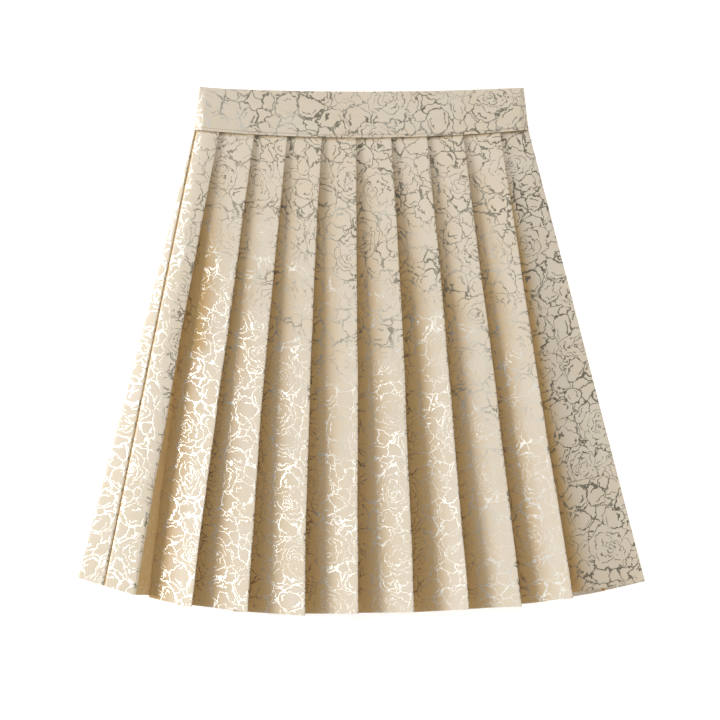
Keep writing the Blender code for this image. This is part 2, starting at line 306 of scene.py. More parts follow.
def underlap(fold, down):
    """How far the valley lies to the left of the fold: the return below the fold keeps its length."""
    drop_hem = fold.height_hem - 2.0 * LAYER
    drop = fold_height(fold, down) - 2.0 * LAYER
    length_hem = (fold.underlap_hem**2 + drop_hem**2) ** 0.5
    length = between(fold.underlap_waist, length_hem, down)
    if fold.underlap_hem > 0.0:
        return max(length**2 - drop**2, 0.0) ** 0.5
    return between(fold.underlap_waist, fold.underlap_hem, down)


def spaced(first, last, count):
    """Evenly spaced values from first to last."""
    return [first + (last - first) * number / (count - 1) for number in range(count)]


# A point of a section: its place, whether to round it off, its column's hem and its painted shade, from
# its depth in a pleat.
Point = namedtuple("Point", "x z corner hem depth")


def fold_and_valley(fold, down, base):
    """The fold's lower corner, its return and the two corners of the valley."""
    x = fold_x(fold, down)
    valley_x = x - underlap(fold, down)
    top = base + fold_height(fold, down) - LAYER
    foot = base + LAYER
    # The fold's return and its valley take full painted shade.
    points = [Point(x, top, True, fold.hem_tip, 0.0)]
    for share in (0.25, 0.5, 0.75):
        hem = between(fold.hem_tip, fold.hem_right, share)
        points.append(Point(between(x, valley_x, share), between(top, foot, share), False, hem, 1.0))
    ends = [Point(valley_x, z, True, fold.hem_right, 1.0) for z in (foot, base)]
    return points + ends


def panel_between(fold, following, down, base):
    """The panel from one fold's valley, under that fold and up to the next fold's upper corner.

    The front's panels climb all the way, and the back's, pressed flat, close to the valley.
    """
    start = fold_x(fold, down)
    hidden = underlap(fold, down)
    width = fold_x(following, down) - start
    height = fold_height(following, down)
    is_front = following.height_hem > PRESSED_HEIGHT
    rise = between(RISE_WAIST, RISE_HEM if is_front else RISE_BACK_HEM, down)
    lowest = max(-LEAD_SHARE * fold_height(fold, down), LAYER - hidden)
    start_hem = fold.hem_right
    offsets = spaced(-hidden, lowest, HIDDEN_STEPS + 1)[1:-1]
    offsets += spaced(lowest, rise, CLIMB_STEPS + 1)[:-1]
    offsets += spaced(rise, width, PANEL_STEPS + 1)
    # Painted shade across the panel: full by the valley, none at the next fold's top, weaker for a low
    # fold and in the open first pleat.
    shade = min(height / PAINTED_SHADE_FULL_HEIGHT, 1.0) * (1.0 if hidden > 0.0 else FIRST_PANEL_PAINTED_SHADE)
    points = []
    for offset in offsets:
        if is_front:
            even = (offset + hidden) / (width + hidden)
            bent = between(even, 1.0 - (1.0 - even) ** 2, following.curve_hem)
            straight = max((offset - lowest) / (width - lowest), 0.0)
            climbed = between(straight, bent, eased(down / LEAN_FROM))
        else:
            climbed = slowing((offset - lowest) / (rise - lowest))
        hem = between(start_hem, following.hem_tip, max(offset / width, 0.0))
        points.append(Point(start + offset, base + height * climbed, False, hem, shade * (1.0 - climbed)))
    points[-1] = points[-1]._replace(corner=True)
    return points


def first_panel_height(x, down):
    """Height of the panel that leans from the left edge up to the first fold."""
    fold = FRONT_FOLDS[0]
    left = -side_x(down)
    share = (x - left) / (fold_x(fold, down) - left)
    climbed = 1.0 - (1.0 - min(share, 1.0)) ** between(LEAN_WAIST, LEAN_HEM, down)
    top = FRONT_BASE + fold_height(fold, down)
    return between(edge_height(down), top, climbed)


def seam_share(distance):
    """1 at a side seam, falling to 0 about two millimetres away."""
    return math.exp(-((distance / 0.0011) ** 2))


def seam_dip(distance):
    """How far the cloth dips at this distance from a side seam."""
    return bpy.context.scene.skirt_cloth.groove * seam_share(distance)


def swollen(share):
    """The last panel's swelling, 1 at its peak."""
    peak = SWELL_START / (SWELL_START + SWELL_END)
    return (share / peak) ** SWELL_START * ((1.0 - share) / (1.0 - peak)) ** SWELL_END


def softened(line):
    """The line with each marked corner replaced by a short curve."""
    bend = bpy.context.scene.skirt_cloth.bend
    points = []
    for number, point in enumerate(line):
        if not point.corner:
            points.append(point)
            continue
        ends = []
        for other in (line[number - 1], line[number + 1]):
            length = math.hypot(other.x - point.x, other.z - point.z)
            share = min(bend / length, 0.46)
            ends.append((point.x + (other.x - point.x) * share, point.z + (other.z - point.z) * share))
        (x0, z0), (x1, z1) = ends
        for step in range(4):
            s = step / 3.0
            a, b, c = (1.0 - s) ** 2, 2.0 * s * (1.0 - s), s * s
            x = a * x0 + b * point.x + c * x1
            z = a * z0 + b * point.z + c * z1
            points.append(point._replace(x=x, z=z))
    return points


def front_line(down):
    """Centre line of the front: left seam, first panel, pleats, last panel, right edge, right seam."""
    half = side_x(down)
    seam = -half + side_seam_inset(down)
    gap = seam_gap(down)
    first = fold_x(FRONT_FOLDS[0], down)
    line = []
    for share in spaced(0.0, 1.0, 22):
        x = seam + gap / 2.0 + (first - seam - gap / 2.0) * share**1.6
        z = first_panel_height(x, down) - seam_dip(x - seam)
        # Painted shade in the side seam's groove.
        line.append(Point(x, z, share == 1.0, first_hem_y(down, x), seam_share(x - seam)))
    for fold, following in zip(FRONT_FOLDS, FRONT_FOLDS[1:]):
        line += fold_and_valley(fold, down, FRONT_BASE)
        line += panel_between(fold, following, down, FRONT_BASE)
    last = FRONT_FOLDS[-1]
    line += fold_and_valley(last, down, FRONT_BASE)
    edge_x = half - WALL / 2.0
    edge_hem = hem_y(HEM_HALF)
    valley = line[-1].x
    drop = FRONT_BASE - edge_height(down)
    swell = LAST_PANEL_SWELL * down**SWELL_GROWTH
    # Painted shade on the last panel: browner beside the last fold, fading away from it, and a little
    # browner toward the hem.
    shade = LAST_PANEL_PAINTED_SHADE * min(fold_height(last, down) / PAINTED_SHADE_FULL_HEIGHT, 1.0)
    for share in spaced(0.0, 1.0, 34)[1:-1]:
        x = valley + (edge_x - valley) * share
        height = FRONT_BASE - drop * share**EDGE_DROP + swell * swollen(share)
        past = x - fold_x(last, down)
        hem = between(last.hem_right, edge_hem, max(past / (edge_x - fold_x(last, down)), 0.0))
        depth = LAST_PANEL_HEM_PAINTED_SHADE * down + shade * min(math.exp(-past / LAST_PANEL_SHADE_FADE), 1.0)
        line.append(Point(x, height, False, hem, depth))
    line.append(Point(edge_x, edge_height(down), True, edge_hem, 0.0))
    line.append(Point(edge_x, WALL / 2.0, True, edge_hem, 0.0))
    for x in spaced(edge_x, half - side_seam_inset(down) + gap / 2.0, 8)[1:]:
        line.append(Point(x, WALL / 2.0, False, hem_y(x), 0.0))
    return softened(line)


def seam_gap(down):
    return between(0.0002, 0.0007, down)


def back_line(down):
    """Centre line of the back: right seam, pressed pleats, last panel, left edge, left seam."""
    half = side_x(down)
    gap = seam_gap(down)
    base = WALL / 2.0
    top = base + PRESSED_HEIGHT
    seam = -half + side_seam_inset(down)
    start = spaced(seam + gap / 2.0, fold_x(BACK_FOLDS[0], down), 12)
    line = [Point(x, top, False, 0.0, 0.0) for x in start]
    line[-1] = line[-1]._replace(corner=True)
    for fold, following in zip(BACK_FOLDS, BACK_FOLDS[1:]):
        line += fold_and_valley(fold, down, base)
        line += panel_between(fold, following, down, base)
    last = BACK_FOLDS[-1]
    line += fold_and_valley(last, down, base)
    edge = last._replace(waist_x=WAIST_HALF - WALL / 2.0, hem_x=HEM_HALF - WALL / 2.0, bow=0.0)
    line += panel_between(last, edge, down, base)[:-1]
    turned = []
    for point in line:
        turned.append(point._replace(x=-point.x, z=BACK_THICKNESS - point.z, hem=hem_y(-point.x)))
    edge_x = -half + WALL / 2.0
    edge_hem = hem_y(-HEM_HALF)
    turned.append(Point(edge_x, WALL / 2.0, True, edge_hem, 0.0))
    turned.append(Point(edge_x, edge_height(down), True, edge_hem, 0.0))
    over = seam - gap / 2.0
    for share in spaced(0.0, 1.0, 14)[1:]:
        x = edge_x + (over - edge_x) * (1.0 - (1.0 - share) ** 1.6)
        z = first_panel_height(x, down) - seam_dip(seam - x)
        # Painted shade in the side seam's groove.
        turned.append(Point(x, z, False, first_hem_y(down, x), seam_share(seam - x)))
    return softened(turned)


def sideways(line):
    """Unit normals of a line of points, to its left, lengthened at corners as a mitre is."""
    normals = []
    for number, point in enumerate(line):
        sides = []
        for start, end in (
            (line[max(number - 1, 0)], point),
            (point, line[min(number + 1, len(line) - 1)]),
        ):
            dx, dz = end.x - start.x, end.z - start.z
            length = math.hypot(dx, dz)
            if length > 1e-9:
                sides.append((-dz / length, dx / length))
        along = sum(side[0] for side in sides)
        up = sum(side[1] for side in sides)
        scale = min(len(sides) / max(along**2 + up**2, 1e-9), 1.2)
        normals.append((along * scale, up * scale))
    return normals


def arc_lengths(line):
    """Length along the line at each point, measured from its middle."""
    lengths = [0.0]
    for start, end in zip(line, line[1:]):
        lengths.append(lengths[-1] + math.hypot(end.x - start.x, end.z - start.z))
    return [length - lengths[-1] / 2.0 for length in lengths]


def new_piece(name, points, faces, uvs, materials, face_slots=None, painted_shades=None, painted_shine_tilts=None):
    """A smooth mesh object at the origin, with a UV map in metres of flat cloth.

    Its points carry their painted shade and a lean to the left that sets where the thread is painted
    bright.
    """
    mesh = bpy.data.meshes.new(name)
    mesh.from_pydata(points, [], faces)
    layer = mesh.uv_layers.new(name="FlatCloth")
    corners = [uvs[mesh.loops[number].vertex_index] for number in range(len(mesh.loops))]
    layer.data.foreach_set("uv", [value for corner in corners for value in corner])
    for material in materials:
        mesh.materials.append(material)
    if face_slots:
        mesh.polygons.foreach_set("material_index", face_slots)
    # Attributes for the painted shade and the painted highlight on the thread.
    for label, values in (("depth", painted_shades), ("tilt", painted_shine_tilts)):
        attribute = mesh.attributes.new(label, "FLOAT", "POINT")
        attribute.data.foreach_set("value", values or [0.0] * len(points))
    mesh.shade_smooth()
    mesh.set_sharp_from_angle(angle=math.radians(70.0))
    mesh.update()
    piece = bpy.data.objects.new(name, mesh)
    bpy.context.collection.objects.link(piece)
    return piece


def shell_faces(rows, columns):
    """Faces of a closed shell of two grids, the outer one first, and their slots: 0 outside, 1 inside."""
    inside = rows * columns
    faces = []
    slots = []

    def add(a, b, c, d, slot):
        faces.append((a, b, c, d))
        slots.append(slot)

    for row in range(rows - 1):
        for column in range(columns - 1):
            a = row * columns + column
            b = a + 1
            c = b + columns
            d = a + columns
            add(a, d, c, b, 0)
            add(inside + a, inside + b, inside + c, inside + d, 1)
        left = row * columns
        right = left + columns - 1
        add(left, inside + left, inside + left + columns, left + columns, 0)
        add(right, right + columns, inside + right + columns, inside + right, 0)
    bottom = (rows - 1) * columns
    for column in range(columns - 1):
        add(column, column + 1, inside + column + 1, inside + column, 0)
        low = bottom + column
        add(low, inside + low, inside + low + 1, low + 1, 0)
    return faces, slots


def pleated_cloth(name, line_at, materials, tucked):
    """A closed shell of jacquard between the waist seam and the hem."""
    settings = bpy.context.scene.skirt_cloth
    waist = line_at(0.0)
    hem = line_at(1.0)
    tops = [seam_y(point.x) - 0.0002 for point in waist]
    bottoms = [point.hem + SHIFT_Y for point in hem]
    outer = []
    inner = []
    uvs = []
    painted_shades = []
    painted_shine_tilts = []
    rows = settings.rows + 1
    for number in range(rows):
        down = (number / settings.rows) ** 1.08
        line = line_at(down)
        across = arc_lengths(line)
        for column, (point, (along, up)) in enumerate(zip(line, sideways(line))):
            x, z = point.x, point.z
            y = between(tops[column], bottoms[column], down)
            if tucked:
                z -= 0.0004 * math.exp(-(tops[column] - y) / 0.0030)
            half = WALL / 2.0
            outer.append((x + along * half, y, z + up * half))
            inner.append((x - along * half, y, z - up * half))
            length = math.hypot(tops[column] - bottoms[column], waist[column].x - hem[column].x)
            uvs.append((across[column], -down * length))
            # Painted shade along the waist seam: the top row under the band is browner.
            painted_shades.append(max(point.depth, WAIST_SEAM_PAINTED_SHADE) if number == 0 else point.depth)
            # The cloth's lean to the left, which sets where its thread is painted bright.
            painted_shine_tilts.append(max(-along, 0.0))
    faces, slots = shell_faces(rows, len(waist))
    return new_piece(name, outer + inner, faces, uvs * 2, materials, slots, painted_shades * 2, painted_shine_tilts * 2)


def band_line(half, level, is_front):
    """Centre line of half the waistband: left joint, roll, curve, flat, curve, roll, right joint."""
    radius = (BAND_END_LEVEL - BAND_BACK_LEVEL) / 2.0
    middle = BAND_BACK_LEVEL + radius
    turn = half - WALL - radius
    points = []
    for angle in spaced(0.02, math.pi / 2.0, 8):
        z = middle + radius * math.sin(angle) * (1.0 if is_front else -1.0)
        points.append((-turn - radius * math.cos(angle), z))
    for share in spaced(0.0, 1.0, 14)[1:]:
        x = -turn + BAND_ROLL * share
        points.append((x, level - (level - BAND_END_LEVEL) * (1.0 - share) ** 2 if is_front else level))
    inner_x = turn - BAND_ROLL
    middle_points = [(x, level) for x in spaced(-inner_x, inner_x, 90)[1:-1]]
    line = points + middle_points + [(-x, z) for x, z in points[::-1]]
    return [Point(x, z, False, 0.0, 0.0) for x, z in line]


def band_shell(name, is_front, materials):
    """Half the waistband as a folded strip with a rounded top and bottom edge."""
    grid = []
    shares = spaced(0.0, 1.0, 16)
    for up in shares:
        front_level = between(BAND_FRONT_BOTTOM, BAND_FRONT_TOP, up)
        half = between(BAND_HALF_BOTTOM, BAND_HALF_TOP, up)
        line = band_line(half, front_level if is_front else BAND_BACK_LEVEL, is_front)
        row = []
        across = arc_lengths(line)
        for column, (point, (along, lift)) in enumerate(zip(line, sideways(line))):
            x, z = point.x, point.z
            top = BAND_TOP_SIDE_Y - BAND_TOP_RISE * (1.0 - (x / BAND_HALF_TOP) ** 2) - BAND_HALF_WALL
            if not is_front:
                shown = max(1.0 - (x + half) / BACK_BAND_PEEK_WIDTH, 0.0)
                top += BACK_BAND_PEEK * shown - BACK_BAND_DROP
            low = seam_y(x) + BAND_HALF_WALL * 0.6
            if is_front:
                from_edges = eased(3.0 * (1.0 - abs(2.0 * up - 1.0)))
                z += BAND_RIPPLE * waver(x / 0.34 + 0.5, 3.0 + 4.0 * up) * from_edges
            row.append((x, between(low, top, up), z, along, lift, across[column]))
        grid.append(row)
    columns = len(grid[0])
    points = []
    uvs = []
    loops = 0
    sign = 1.0 if is_front else -1.0
    for column in range(columns):
        loop = []
        for number in range(len(shares)):
            x, y, z, along, lift, u = grid[number][column]
            side = sign * BAND_HALF_WALL
            loop.append((x + along * side, y, z + lift * side, u, y))
        x, y, z, along, lift, u = grid[-1][column]
        for angle in spaced(90.0, -90.0, 8)[1:-1]:
            side = math.sin(math.radians(angle)) * BAND_HALF_WALL * sign
            over = math.cos(math.radians(angle)) * BAND_HALF_WALL
            round_edge = math.radians(90.0 - angle) * BAND_HALF_WALL
            loop.append((x + along * side, y + over, z + lift * side, u, y + round_edge))
        for number in reversed(range(len(shares))):
            x, y, z, along, lift, u = grid[number][column]
            side = -sign * BAND_HALF_WALL
            loop.append((x + along * side, y, z + lift * side, u, 0.52 - y))
        x, y, z, along, lift, u = grid[0][column]
        for angle in spaced(-90.0, 90.0, 6)[1:-1]:
            side = math.sin(math.radians(angle)) * BAND_HALF_WALL * sign
            over = math.cos(math.radians(angle)) * BAND_HALF_WALL * 0.6
            loop.append((x + along * side, y - over, z + lift * side, u, y - over))
        loops = len(loop)
        for px, py, pz, u, v in loop:
            points.append((px, py, pz))
            uvs.append((u, v))
    faces = []
    for column in range(columns - 1):
        for number in range(loops):
            a = column * loops + number
            b = column * loops + (number + 1) % loops
            quad = (a, b, b + loops, a + loops)
            faces.append(quad if not is_front else quad[::-1])
    ends = [list(range(loops)), list(range((columns - 1) * loops, columns * loops))]
    faces.append(tuple(ends[0] if is_front else ends[0][::-1]))
    faces.append(tuple(ends[1][::-1] if is_front else ends[1]))
    # Painted highlight: the level band's thread is painted brighter toward its left end.
    shares = [min((x + BAND_HALF_BOTTOM) / BAND_PAINTED_SHINE_REACH, 1.0) for x, _, _ in points]
    painted_shine_tilts = [between(BAND_PAINTED_SHINE_LEFT, BAND_PAINTED_SHINE_MIDDLE, share) for share in shares]
    return new_piece(name, points, faces, uvs, materials, painted_shine_tilts=painted_shine_tilts)


class Value:
    """A shader value that Python's operators join with Math nodes."""

    def __init__(self, maker, socket):
        self.maker = maker
        self.socket = socket

    def made(self, operation, *values):
        return self.maker.number("ShaderNodeMath", {"operation": operation}, values)

    def __add__(self, other):
        return self.made("ADD", self, other)

    def __radd__(self, other):
        return self.made("ADD", other, self)

    def __sub__(self, other):
        return self.made("SUBTRACT", self, other)

    def __rsub__(self, other):
        return self.made("SUBTRACT", other, self)

    def __mul__(self, other):
        return self.made("MULTIPLY", self, other)

    def __rmul__(self, other):
        return self.made("MULTIPLY", other, self)

    def __truediv__(self, other):
        return self.made("DIVIDE", self, other)

    def __rtruediv__(self, other):
        return self.made("DIVIDE", other, self)

    def __pow__(self, other):
        return self.made("POWER", self, other)

    def __abs__(self):
        return self.made("ABSOLUTE", self)

    def least(self, other):
        return self.made("MINIMUM", self, other)

    def most(self, other):
        return self.made("MAXIMUM", self, other)

    def sine(self):
        return self.made("SINE", self)

    def part(self):
        """The value less its whole number."""
        return self.made("FRACT", self)

    def smooth(self, low, high, at_low=0.0, at_high=1.0):
        """A smooth step between two values."""
        settings = {"interpolation_type": "SMOOTHSTEP"}
        return self.maker.number("ShaderNodeMapRange", settings, (self, low, high, at_low, at_high))


class Surface:
    """Builds a material's nodes."""

    def __init__(self, name):
        self.material = bpy.data.materials.new(name)
        self.material.use_nodes = True
        self.tree = self.material.node_tree
        self.shader = self.tree.nodes["Principled BSDF"]

    def node(self, kind, settings=None, values=()):
        """A node: its settings come first, then the values or links of its inputs by name or number."""
        made = self.tree.nodes.new(kind)
        for name, value in (settings or {}).items():
            setattr(made, name, value)
        named = values.items() if isinstance(values, dict) else enumerate(values)
        for key, value in named:
            self.put(made.inputs[key], value)
        return made

    def put(self, socket, value):
        if isinstance(value, Value):
            value = value.socket
        if isinstance(value, bpy.types.NodeSocket):
            self.tree.links.new(value, socket)
        else:
            socket.default_value = value

    def number(self, kind, settings, values, output=0):
        return Value(self, self.node(kind, settings, values).outputs[output])

    def vector(self, operation, *values):
        return self.node("ShaderNodeVectorMath", {"operation": operation}, values).outputs[0]

    def scaled(self, vector, factor):
        inputs = {"Vector": vector, "Scale": factor}
        return self.node("ShaderNodeVectorMath", {"operation": "SCALE"}, inputs).outputs[0]

    def noise(self, vector, size, detail=1.0, output="Fac"):
        """Noise whose features are about this long."""
        made = self.node("ShaderNodeTexNoise", {"noise_dimensions": "2D"},
                         {"Vector": vector, "Scale": 1.0 / size, "Detail": detail})
        return Value(self, made.outputs[0]) if output == "Fac" else made.outputs["Color"]

    def to_cell_edge(self, vector, size, randomness):
        """Distance to the nearest edge between scattered cells of this size."""
        settings = {"voronoi_dimensions": "2D", "feature": "DISTANCE_TO_EDGE"}
        inputs = {"Vector": self.scaled(vector, 1.0 / size), "Scale": 1.0, "Randomness": randomness}
        return self.number("ShaderNodeTexVoronoi", settings, inputs) * size

    def attribute(self, name):
        """A number that the mesh's points carry."""
        return Value(self, self.node("ShaderNodeAttribute", {"attribute_name": name}).outputs["Fac"])

    def mixed(self, share, first, second):
        """A colour between two."""
        made = self.node("ShaderNodeMix", {"data_type": "RGBA"})
        self.put(made.inputs[0], share)
        self.put(made.inputs[6], first)
        self.put(made.inputs[7], second)
        return made.outputs[2]


ROSE_RINGS = (
    # share of the rose's radius, petals in the ring, how deep their ends dip, how far each tucks under
    (0.15, 1, 0.00, 0.50),
    (0.32, 2, 0.20, 0.24),
    (0.51, 3, 0.20, 0.18),
    (0.74, 4, 0.18, 0.13),
    (1.00, 6, 0.16, 0.08),
)


def polar(surface, point, pitch, randomness):
    """The nearest of scattered centres: distance, turn, upright share of the direction, random size."""
    grid = surface.scaled(point, 1.0 / pitch)
    nearest = surface.node("ShaderNodeTexVoronoi", {"voronoi_dimensions": "2D", "feature": "F1"},
                           {"Vector": grid, "Scale": 1.0, "Randomness": randomness})
    from_middle = surface.scaled(surface.vector("SUBTRACT", grid, nearest.outputs["Position"]), pitch)
    random = surface.node("ShaderNodeSeparateColor", None, {"Color": nearest.outputs["Color"]})
    size, turn, squeeze = [Value(surface, random.outputs[number]) for number in range(3)]
    parts = surface.node("ShaderNodeSeparateXYZ", None, {"Vector": from_middle})
    along = Value(surface, parts.outputs[0]) * (1.16 - 0.30 * squeeze)
    up = Value(surface, parts.outputs[1]) * (0.88 + 0.30 * squeeze)
    away = (along * along + up * up + 1e-9) ** 0.5
    angle = surface.number("ShaderNodeMath", {"operation": "ARCTAN2"}, (up, along))
    around = angle / (2.0 * math.pi) + turn
    steep = abs(up) / away
    return away, around, steep, size


def rose_lines(surface, point, settings):
    """Distance to the nearest rose's lines, depth inside its outline, and how level those lines run."""
    away, around, level, size = polar(surface, point, settings.rose_pitch, 0.5)
    radius = settings.rose_radius + settings.rose_growth * size
    lines = None
    for number, (share, petals, dip, tuck) in enumerate(ROSE_RINGS):
        petal = ((around + 0.381 * number) * float(petals)).part()
        lobe = 1.0 - dip * (1.0 - (petal * math.pi).sine()) - tuck * petal
        ring = radius * share * lobe
        distance = abs(away - ring)
        lines = distance if lines is None else lines.least(distance)
    return lines, ring - away, level


def petal_lines(surface, point, settings):
    """The same for single petals: their rim, their lip, and the edges where two petals meet."""
    away, around, level, size = polar(surface, point, settings.petal_pitch, 0.9)
    radius = settings.petal_pitch * (0.40 + 0.16 * size)
    rim = radius - away
    lip = abs(away - 0.60 * radius) + (around * 2.0).part().smooth(0.42, 0.50, 0.0, 0.01)
    edge = surface.to_cell_edge(point, settings.petal_pitch, 0.9)
    lines = abs(rim).least(edge.most(-1.0 * rim)).least(lip)
    return lines, rim, level


def jacquard(name, settings, dull=False):
    """Champagne satin with silver lines: roses over petals over small cells.

    Its ground is painted browner and its thread golden as shade deep in the pleats and at the seams, and
    its lines are painted brighter as a highlight where the cloth leans to the left.
    The dull side shows the lines faintly.
    """
    surface = Surface(name)
    uv = surface.node("ShaderNodeUVMap", {"uv_map": "FlatCloth"}).outputs[0]
    sway = surface.vector("SUBTRACT", surface.noise(uv, 0.024, 0.0, "Color"), (0.5, 0.5, 0.5))
    shake = surface.vector("SUBTRACT", surface.noise(uv, 0.0062, 1.0, "Color"), (0.5, 0.5, 0.5))
    swayed = surface.vector("ADD", uv, surface.scaled(sway, 0.009))
    warped = surface.vector("ADD", swayed, surface.scaled(shake, 0.0062))
    jag = surface.vector("SUBTRACT", surface.noise(uv, 0.0022, 0.0, "Color"), (0.5, 0.5, 0.5))
    warped = surface.vector("ADD", warped, surface.scaled(jag, 0.0016))
    rose, in_rose, rose_level = rose_lines(surface, warped, settings)
    petal, in_petal, petal_level = petal_lines(surface, warped, settings)
    step = 0.00025
    out_of_petal = in_petal.smooth(-step, step, 0.0, 0.05)
    out_of_rose = in_rose.smooth(-step, step, 0.0, 0.05)
    lower = petal.least(surface.to_cell_edge(warped, settings.cell, 1.0) + out_of_petal)
    nearest = rose.least(lower + out_of_rose)
    level = surface.number("ShaderNodeMix", {"data_type": "FLOAT"},
                           (in_rose.smooth(-step, step), petal_level, rose_level))
    swell = surface.noise(uv, 0.013, 1.0).smooth(0.32, 0.70)
    thicker = settings.line_thick - settings.line_thin
    width = (0.50 + 0.75 * level) * (settings.line_thin + thicker * swell)
    patches = surface.noise(uv, 0.030, 0.0)
    # Painted highlight: the thread is painted bright where the cloth leans to the left, in patches; the
    # same share thins the lines and leans their floats.
    painted_shine = (surface.attribute("tilt") + 0.12 * (patches - 0.5)).smooth(0.10, 0.22)
    width = (width + 0.0003 * in_rose.smooth(0.0, 0.0010)) * (1.0 - 0.22 * painted_shine)
    gaps = surface.noise(swayed, 0.0075, 0.0).smooth(0.36, 0.28, 0.0, 0.0016)
    broken = gaps * in_rose.smooth(0.0005, 0.0010)
    rows = surface.node("ShaderNodeSeparateXYZ", None, {"Vector": uv}).outputs[1]
    rows = (Value(surface, rows) * (2.0 * math.pi / settings.weft)).sine()
    from_line = nearest - width * 0.5 + broken + rows * 0.00012
    line = from_line.smooth(-0.00016, 0.00016, 1.0, 0.0)
    tone = surface.noise(uv, 0.050, 2.0).smooth(0.35, 0.65)
    ground = surface.mixed(tone, (*settings.ground, 1.0), (*settings.ground_warm, 1.0))
    weave = surface.node("ShaderNodeMapping", None, {"Vector": uv, "Scale": (900.0, 2400.0, 1.0)})
    thread = surface.noise(weave.outputs[0], 1.0, 1.0)
    ground = surface.mixed(thread.smooth(0.3, 0.75) * 0.16, ground, (0.86, 0.76, 0.62, 1.0))
    # Painted shade: deep in the pleats and at the seams the satin is mixed toward a brown.
    depth = surface.attribute("depth")
    painted_shade_mix = depth.smooth(0.16, 0.64) * settings.painted_shade_strength
    ground = surface.mixed(painted_shade_mix, ground, (*settings.painted_shade_ground, 1.0))
    strength = 0.25 if dull else 1.0
    put = surface.put
    inputs = surface.shader.inputs
    # Painted highlight: the thread goes from dark on level cloth to painted bright where the cloth leans
    # to the left.
    silver = surface.mixed(painted_shine, (*settings.silver, 1.0), (*settings.painted_highlight_silver, 1.0))
    # Painted shade on the thread: golden deep in the pleats.
    silver = surface.mixed(depth.smooth(0.45, 0.80), silver, (*settings.painted_shade_silver, 1.0))
    put(inputs["Base Color"], surface.mixed(line * strength, ground, silver))
    put(inputs["Metallic"], line * (0.85 * strength) + 0.10)
    put(inputs["Roughness"], 0.60 - 0.13 * strength * line + 0.10 * (thread - 0.5))
    sunk = surface.number("ShaderNodeMath", {"operation": "EXPONENT"}, (from_line.most(0.0) * -650.0,))
    raised = 1.0 - sunk
    roof = (0.0 - from_line).most(0.0) * settings.ridge
    height = raised * settings.puff + roof + (thread - 0.5) * 0.00003
    bump = surface.node("ShaderNodeBump", None, {"Strength": 1.0, "Distance": 1.0, "Height": height})
    turned = 0.5 + 0.6 * patches + 0.2 * painted_shine
    lean = surface.scaled((-1.0, 0.0, 0.0), line * turned * (settings.lean * strength))
    leaning = surface.vector("NORMALIZE", surface.vector("ADD", bump.outputs[0], lean))
    put(inputs["Normal"], leaning)
    inputs["Sheen Weight"].default_value = 0.04
    inputs["Sheen Roughness"].default_value = 0.4
    inputs["Sheen Tint"].default_value = (1.0, 0.93, 0.82, 1.0)
    return surface.material


def thread_material(settings):
    """Spun tan thread."""
    surface = Surface("tan_thread")
    place = surface.node("ShaderNodeTexCoord").outputs["Object"]
    inputs = {"Vector": place, "Scale": 2500.0}
    grain = surface.number("ShaderNodeTexNoise", {"noise_dimensions": "3D"}, inputs)
    tan = (*settings.colour, 1.0)
    dark = (*[value * 0.7 for value in settings.colour], 1.0)
    surface.put(surface.shader.inputs["Base Color"], surface.mixed(grain, dark, tan))
    surface.put(surface.shader.inputs["Roughness"], 0.55 + 0.2 * grain)
    return surface.material


def stitch_tree(material):
    """Geometry Nodes that lay stitches along a curve."""
    tree = bpy.data.node_groups.new("stitches", "GeometryNodeTree")
    face = tree.interface
    face.new_socket(name="Geometry", in_out="INPUT", socket_type="NodeSocketGeometry")
    for name in ("Pitch", "Length", "Thread"):
        face.new_socket(name=name, in_out="INPUT", socket_type="NodeSocketFloat")
    face.new_socket(name="Geometry", in_out="OUTPUT", socket_type="NodeSocketGeometry")
    nodes, links = tree.nodes, tree.links
    given = nodes.new("NodeGroupInput")
    result = nodes.new("NodeGroupOutput")
    resample = nodes.new("GeometryNodeResampleCurve")
    resample.mode = "LENGTH"
    tangent = nodes.new("GeometryNodeInputTangent")
    turn = nodes.new("FunctionNodeAlignRotationToVector")
    turn.axis = "X"
    stitch = nodes.new("GeometryNodeMeshUVSphere")
    stitch.inputs["Segments"].default_value = 6
    stitch.inputs["Rings"].default_value = 5
    stitch.inputs["Radius"].default_value = 0.5
    size = nodes.new("ShaderNodeCombineXYZ")
    place = nodes.new("GeometryNodeInstanceOnPoints")
    smooth = nodes.new("GeometryNodeSetShadeSmooth")
    real = nodes.new("GeometryNodeRealizeInstances")
    paint = nodes.new("GeometryNodeSetMaterial")
    paint.inputs["Material"].default_value = material
    links.new(given.outputs["Geometry"], resample.inputs["Curve"])
    links.new(given.outputs["Pitch"], resample.inputs["Length"])
    links.new(tangent.outputs[0], turn.inputs["Vector"])
    links.new(given.outputs["Length"], size.inputs["X"])
    links.new(given.outputs["Thread"], size.inputs["Y"])
    links.new(given.outputs["Thread"], size.inputs["Z"])
    links.new(resample.outputs["Curve"], place.inputs["Points"])
    links.new(stitch.outputs["Mesh"], smooth.inputs["Geometry"])
    links.new(smooth.outputs["Geometry"], place.inputs["Instance"])
    links.new(turn.outputs[0], place.inputs["Rotation"])
    links.new(size.outputs[0], place.inputs["Scale"])
    links.new(place.outputs["Instances"], real.inputs["Geometry"])
    links.new(real.outputs["Geometry"], paint.inputs["Geometry"])
    links.new(paint.outputs["Geometry"], result.inputs["Geometry"])
    return tree


